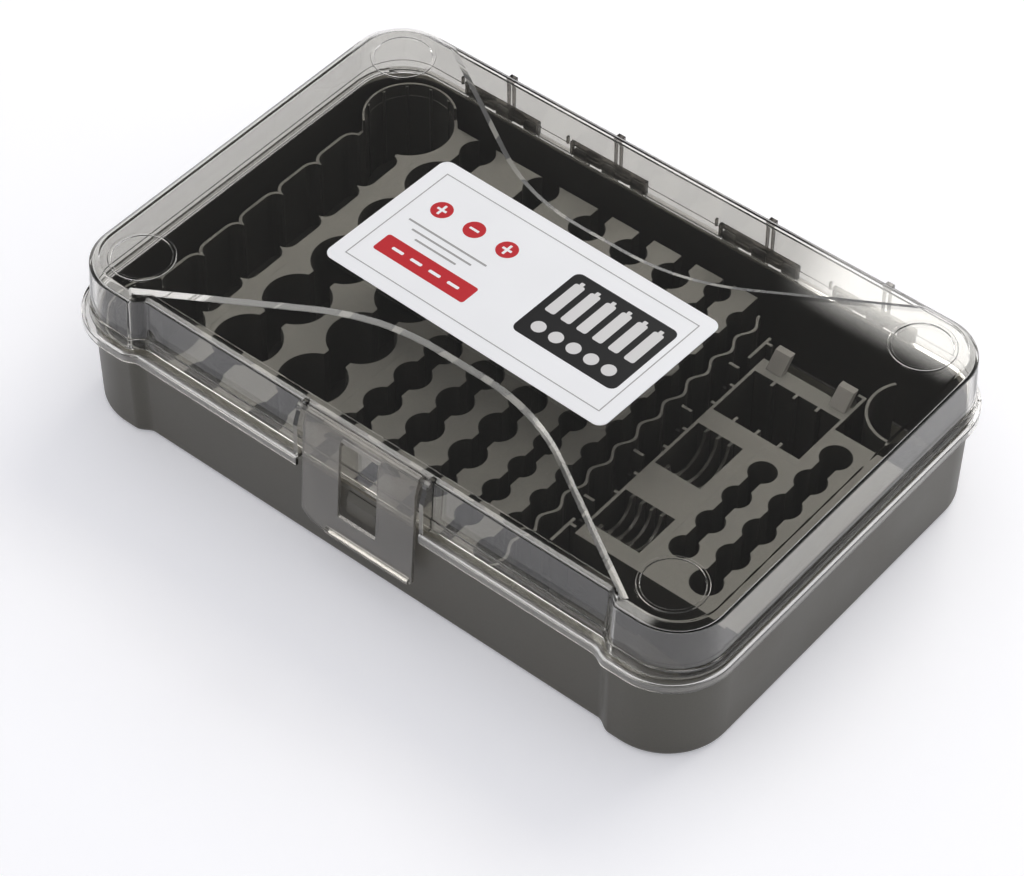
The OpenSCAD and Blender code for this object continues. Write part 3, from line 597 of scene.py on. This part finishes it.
def hinge_parts():
    """The lid's knuckles, and round each hinge a rim, a lug and a pair of ribs. They are looked at along
    their length, through more of the smoked plastic than the wall has, so they are darker."""
    solids = [lid_knuckle(x0, x1) for x0, x1 in knuckle_spans(1)]
    rib_x, rib_w, rib_t = RIB_PAIR
    lug_x, lug_w, lug_y, lug_h = LUG
    notch = HINGE_W / 2 + NOTCH_GAP
    for x in HINGE_X:
        solids += [
            arch(x + rib_x, rib_w / 2 - rib_t, rib_w / 2, RIB_Z[0], RIB_Z[1] - rib_t, RIB_Z[1], RIB_Y),
            arch(x, notch, notch + NOTCH_RIM_W, LEDGE_TOP + 0.2, NOTCH_TOP, NOTCH_TOP + NOTCH_RIM_W, NOTCH_RIM_Y),
            block(x + lug_x - lug_w, x + lug_x + lug_w, NOTCH_RIM_Y[0], lug_y, NOTCH_TOP - 1, NOTCH_TOP + lug_h)]
    parts = faced_out(piece("lid_hinge_parts", *joined(solids), thick_clear, "lid", "lid"))
    combined(parts, [pin_hole(*HINGE, PIN_R + TURN_GAP, *hinge_span(x)) for x in HINGE_X], "DIFFERENCE")
    smoothed(parts, sharp_deg=25)


lid_shell()
hinge_parts()


# ---------------------------------------------------------------- tray

def tray_knuckle(x0, x1):
    """A knuckle with the web that joins it to the tray's rear wall, as one loop."""
    loop = arc(*HINGE, KNUCKLE_R, 0, 180, 16)
    loop += [(93.9, TRAY_H - 0.6), (93, TRAY_H - 0.6), (93, 37), (97.5, 43)]
    return extruded(loop, lengthwise, x0, x1)


def tray_shell():
    quarter = [math.radians(a) for a in range(0, 91, 10)]
    foot = [(grow(TRAY, -TRAY_DRAFT - FOOT_R * (1 - math.sin(a))), FOOT_R * (1 - math.cos(a)), 0) for a in quarter]
    levels = [(grow(TRAY, -TRAY_DRAFT - FOOT_R - 6), 0, 0)] + foot + [
        (TRAY, TRAY_H - 2.7, 0.3),
        (RIM, TRAY_H - 2, 0.3),
        (RIM, TRAY_H, 0.5),
        (grow(TRAY, -TRAY_WALL), TRAY_H, 0.5),
        (grow(TRAY, -TRAY_WALL - TRAY_DRAFT), TRAY_FLOOR, 1.2),
        (grow(TRAY, -TRAY_WALL - TRAY_DRAFT - 8), TRAY_FLOOR, 0)]
    shell = faced_out(piece("tray_shell_moulded", *skin(soft_rings(levels)), charcoal_pp, "tray", "tray"))
    catch = extruded([(-90, 29), (-90, 40), (-91.4, 40), (-92.9, 37), (-92.9, 30.2), (-91.9, 29)], lengthwise,
                     -CATCH_W / 2, CATCH_W / 2)
    stud_x, stud_y, stud_r, stud_h = STUD
    studs = [extruded(circle(x + stud_x, stud_y, stud_r, 24), upright, TRAY_H - 1, TRAY_H + stud_h)
             for x in HINGE_X]
    combined(shell, [tray_knuckle(x0, x1) for x0, x1 in knuckle_spans(0)] + [catch] + studs, "UNION")
    combined(shell, [pin_hole(*HINGE, PIN_R, *hinge_span(x, 1)) for x in HINGE_X], "DIFFERENCE")
    smoothed(shell, sharp_deg=14)
    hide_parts("tray_shell")


tray_shell()


# ---------------------------------------------------------------- latch

def latch_panel():
    """The clip: a sloping plate that hangs from its eye, with a finger lip and a window. Its lower left
    corner has a large round, and its lower right corner a small one."""
    foot_y, neck_y = LATCH_FACE_Y
    low, w = LATCH_LOW, LATCH_W / 2
    profile = arc(*LATCH_AXIS, LATCH_EYE_R, -62, 160, 20)
    profile += [(neck_y, 62.3), (foot_y, low), (foot_y + LATCH_T, low), (neck_y + 1.4, 61.6)]
    panel = faced_out(piece("latch_clear", *extruded(profile, lengthwise, -w, w), latch_clear, "latch", "latch"))
    lip = [(-95.6, low), (-96.8, low), (-97.5, low + 0.7), (-97.5, low + 2), (-96.4, low + 3.2), (-95.6, low + 3.2)]
    combined(panel, [extruded(lip, lengthwise, *LATCH_LIP_X)], "UNION")
    front = [(w + 1, 72), (-w - 1, 72), (-w - 1, low + 6)]
    quarter = [math.radians(a) for a in range(180, 271, 10)]
    front += [(-w + 10 * (1 + math.cos(a)), low + 6 * (1 + math.sin(a))) for a in quarter]
    front += [(w - 1.5, low), (w - 0.75, low + 0.2), (w - 0.2, low + 0.75), (w, low + 1.5), (w + 1, low + 1.5)]
    combined(panel, [extruded(front, facing, -FAR_Y, -80)], "INTERSECT")
    window_x, window_low, window_top = WINDOW
    combined(panel, [block(-window_x, window_x, -99, -88.4, window_low, window_top)], "DIFFERENCE")
    edges = panel.modifiers.new("moulded edges", "BEVEL")
    edges.width = 0.3 * MM
    edges.segments = 3
    edges.limit_method = "ANGLE"
    edges.angle_limit = math.radians(35)
    edges.harden_normals = True
    applied(panel)
    combined(panel, [pin_hole(*LATCH_AXIS, PIN_R + TURN_GAP, -w - 1, w + 1)], "DIFFERENCE")
    smoothed(panel, sharp_deg=25)
    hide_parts("latch")


latch_panel()


# ---------------------------------------------------------------- label print

LABEL = (-6, 3, -1.5, 69.85)      # middle x and y, turn in degrees, z of its top
INK_T = 0.02                      # ink film, thicker than real so that it lies clear of the label
INK_GAP = 0.01                    # between the label and its ink, and between two inks


def rounded(x, y, w, h, r, steps=5):
    """A rectangle round (x, y) with rounded corners, anticlockwise."""
    loop = []
    for sx, sy, a in ((1, 1, 0), (-1, 1, 90), (-1, -1, 180), (1, -1, 270)):
        loop += arc(x + sx * (w / 2 - r), y + sy * (h / 2 - r), r, a, a + 90, steps)
    return loop


def printed(name, loops, ink, lift=0):
    """Flat ink shapes on the label, from loops in the label's own millimetres."""
    x0, y0, turn, z = LABEL
    c, s = math.cos(math.radians(turn)), math.sin(math.radians(turn))

    def on_label(u, v, w):
        return x0 + c * u - s * v, y0 + s * u + c * v, w

    z += INK_GAP + lift
    shapes = [extruded(loop, on_label, z, z + INK_T) for loop in loops]
    faced_out(piece(name, *joined(shapes), ink, "lid", "label"))


def frame_line(x, y, w, h, t):
    """The four thin bars of a frame."""
    level = [rounded(x, y + s * h / 2, w + t, t, t * 0.3) for s in (-1, 1)]
    return level + [rounded(x + s * w / 2, y, t, h - t, t * 0.3) for s in (-1, 1)]


def label_print():
    """A plain design: a frame line, discs with signs, a few rules, a band of bars and a panel of cells."""
    second_ink = INK_T + INK_GAP
    disc_x, disc_y = [-49 + 16 * i for i in range(3)], 12
    band_x, band_y = -33, -15
    cell_x = [15.5 + 7.4 * i for i in range(6)]
    printed("label_frame_line", frame_line(0, 0, 121, 56, 0.45), ink_grey)
    printed("label_band_red", [rounded(band_x, band_y, 44, 9.5, 1.2)], ink_red)
    printed("label_discs_red", [circle(x, disc_y, 4.4, 45) for x in disc_x], ink_red)
    printed("label_panel_black", [rounded(34, 1.5, 48, 38, 3)], ink_black)
    cells = [rounded(x, 6.5, 4.6, 18, 1) for x in cell_x]
    coins = [circle(17.6 + 8.2 * i, -10.5, 2.9, 24) for i in range(5)]
    caps = [rounded(x, 16.3, 1.8, 1.6, 0.3) for x in cell_x]
    printed("label_cells_pale", cells + coins + caps, ink_pale, second_ink)
    marks = []
    for i, x in enumerate(disc_x):
        marks.append(rounded(x, disc_y, 4.4, 1.1, 0.2))
        if i != 1:
            marks += [rounded(x, disc_y + up, 1.1, 2.2, 0.2) for up in (1.65, -1.65)]
    marks += [rounded(band_x + 9 * k, band_y, 5.5, 1.4, 0.5) for k in (-1.5, -0.5, 0.5, 1.5)]
    printed("label_marks_white", marks, vinyl_white, second_ink)
    printed("label_rules_grey", [rounded(-36, 0.5 - 3.4 * i, 38 - 9 * i, 0.9, 0.3) for i in range(3)], ink_grey)


label_print()


# ---------------------------------------------------------------- floor, light and camera

FLOOR_HALF = 3000           # mm from the case's middle to the floor's edges
FLOOR_Z = -0.05             # mm, a hair below the case's foot, so that the two faces don't meet
FLOOR_GLOW = 0.23           # lifts the floor towards white where it is looked at
AMBIENT = 0.7               # the room's light on the case
CEILING = 0.07              # brightness of the ceiling that its glossy faces mirror
CEILING_Z = (0.2, 0.62)     # how steeply a ray goes up where the ceiling starts, and where it is in full


def looked_at(tree):
    """1 for rays that show the surroundings: seen directly, mirrored or looked at through the plastic.
    0 once a ray has bounced off a matt face, where the surroundings only give light."""
    ray = add(tree, "ShaderNodeLightPath")
    kinds = ray.outputs["Is Camera Ray"]
    for kind in ("Is Glossy Ray", "Is Transmission Ray"):
        kinds = add(tree, "ShaderNodeMath", {"operation": "ADD", "use_clamp": True},
                    {0: kinds, 1: ray.outputs[kind]}).outputs[0]
    direct = add(tree, "ShaderNodeMath", {"operation": "LESS_THAN", 1: 0.5}, {0: ray.outputs["Diffuse Depth"]})
    return add(tree, "ShaderNodeMath", {"operation": "MULTIPLY"}, {0: kinds, 1: direct.outputs[0]}).outputs[0]


def floor():
    """Matt white paper that keeps the case's shadow."""
    material, tree = new_material("pale_studio_floor")
    strength = add(tree, "ShaderNodeMath", {"operation": "MULTIPLY", 1: FLOOR_GLOW}, {0: looked_at(tree)})
    paper = add(tree, "ShaderNodeBsdfDiffuse", {"Color": linear("#f8f7f4")})
    glow = add(tree, "ShaderNodeEmission", {"Color": linear("#f5f6ff")}, {"Strength": strength.outputs[0]})
    both = add(tree, "ShaderNodeAddShader", (), {0: paper.outputs[0], 1: glow.outputs[0]})
    add(tree, "ShaderNodeOutputMaterial", (), {"Surface": both.outputs[0]})
    corners = [(sx * FLOOR_HALF, sy * FLOOR_HALF, FLOOR_Z) for sx, sy in ((-1, -1), (1, -1), (1, 1), (-1, 1))]
    obj = piece("studio_floor", corners, [[0, 1, 2, 3]], material)


def world():
    """A white studio. What glossy and clear plastic mirrors from overhead is the dark of its ceiling."""
    scene.world = bpy.data.worlds.new("white_studio")
    scene.world.use_nodes = True
    tree = scene.world.node_tree
    tree.nodes.clear()
    toward = add(tree, "ShaderNodeTexCoord")
    height = add(tree, "ShaderNodeSeparateXYZ", (), {0: toward.outputs["Generated"]})
    overhead = add(tree, "ShaderNodeMapRange",
                   {"From Min": CEILING_Z[0], "From Max": CEILING_Z[1], "To Min": 0.0, "To Max": 1.0},
                   {"Value": height.outputs["Z"]})
    ray = add(tree, "ShaderNodeLightPath")
    through = add(tree, "ShaderNodeMath", {"operation": "ADD", "use_clamp": True},
                  {0: ray.outputs["Is Glossy Ray"], 1: ray.outputs["Is Transmission Ray"]})
    mirrored = add(tree, "ShaderNodeMath", {"operation": "MULTIPLY"},
                   {0: overhead.outputs["Result"], 1: through.outputs[0]})
    soft = add(tree, "ShaderNodeBackground", {"Color": linear("#f6f7ff"), "Strength": AMBIENT})
    white = add(tree, "ShaderNodeBackground", {"Color": (1, 1, 1, 1), "Strength": 1.0})
    ceiling = add(tree, "ShaderNodeBackground", {"Color": (1, 1, 1, 1), "Strength": CEILING})
    shown = add(tree, "ShaderNodeMixShader", (),
                {0: mirrored.outputs[0], 1: white.outputs[0], 2: ceiling.outputs[0]})
    mix = add(tree, "ShaderNodeMixShader", (), {0: looked_at(tree), 1: soft.outputs[0], 2: shown.outputs[0]})
    add(tree, "ShaderNodeOutputWorld", (), {"Surface": mix.outputs[0]})


def softbox(name, place, aim, size, watts, fade, only_mirrored=False):
    """An area lamp, placed in metres, that fades towards its edges over a share of its size. One that is
    only mirrored stands for a reflector card: it shows in glossy faces and lights no matt ones."""
    lamp = bpy.data.lights.new(name, "AREA")
    lamp.shape = "RECTANGLE"
    lamp.size, lamp.size_y = size
    lamp.energy = watts
    lamp.color = linear("#fffdf9")[:3]
    lamp.use_nodes = True
    tree = lamp.node_tree
    tree.nodes.clear()
    geometry = add(tree, "ShaderNodeNewGeometry")
    across = add(tree, "ShaderNodeSeparateXYZ", (), {0: geometry.outputs["Parametric"]})
    strength = None
    for axis in ("X", "Y"):
        for low, high in ((0, fade), (1, 1 - fade)):
            edge = add(tree, "ShaderNodeMapRange",
                       {"interpolation_type": "SMOOTHSTEP", "From Min": low, "From Max": high},
                       {"Value": across.outputs[axis]})
            strength = edge.outputs[0] if strength is None else add(
                tree, "ShaderNodeMath", {"operation": "MULTIPLY"}, {0: strength, 1: edge.outputs[0]}).outputs[0]
    glow = add(tree, "ShaderNodeEmission", (), {"Strength": strength})
    add(tree, "ShaderNodeOutputLight", (), {"Surface": glow.outputs[0]})
    obj = bpy.data.objects.new(name, lamp)
    scene.collection.objects.link(obj)
    obj.location = place
    obj.rotation_euler = (Vector(aim) - Vector(place)).to_track_quat("-Z", "Y").to_euler()
    obj.visible_camera = False
    obj.visible_diffuse = not only_mirrored


def camera():
    """The photograph's view: its frame is 1024 by 876, and its middle is off the lens's axis."""
    azimuth, elevation, roll = (math.radians(a) for a in (38.63, 45.83, 0.97))
    distance, focal_px, off_x, off_y = 1.28861, 3497.92, 15.17, -70.23
    width_px = 1024
    aim = Vector((0, 0, 35 * MM))
    back = Vector((math.sin(azimuth) * math.cos(elevation), -math.cos(azimuth) * math.cos(elevation),
                   math.sin(elevation)))
    right = Vector((math.cos(azimuth), math.sin(azimuth), 0))
    up = back.cross(right)
    right, up = (math.cos(roll) * right + math.sin(roll) * up, -math.sin(roll) * right + math.cos(roll) * up)
    lens = bpy.data.cameras.new("camera")
    lens.sensor_width = 36
    lens.lens = focal_px * lens.sensor_width / width_px
    lens.shift_x = -off_x / width_px
    lens.shift_y = off_y / width_px
    lens.clip_end = 20
    obj = bpy.data.objects.new("camera", lens)
    scene.collection.objects.link(obj)
    turn = Matrix((right, up, back)).transposed().to_4x4()
    obj.matrix_world = Matrix.Translation(aim + back * distance) @ turn
    scene.camera = obj


floor()
world()
softbox("rear_softbox", place=(0.05, 1.163, 0.963), aim=(0.05, 0, 0), size=(1.2, 0.52), watts=10, fade=0.06)
softbox("overhead_card", place=(-0.5, -0.36, 1.12), aim=(0, 0, 0), size=(1.3, 1.4), watts=18, fade=0.2,
        only_mirrored=True)
camera()
scene.view_settings.view_transform = "Standard"
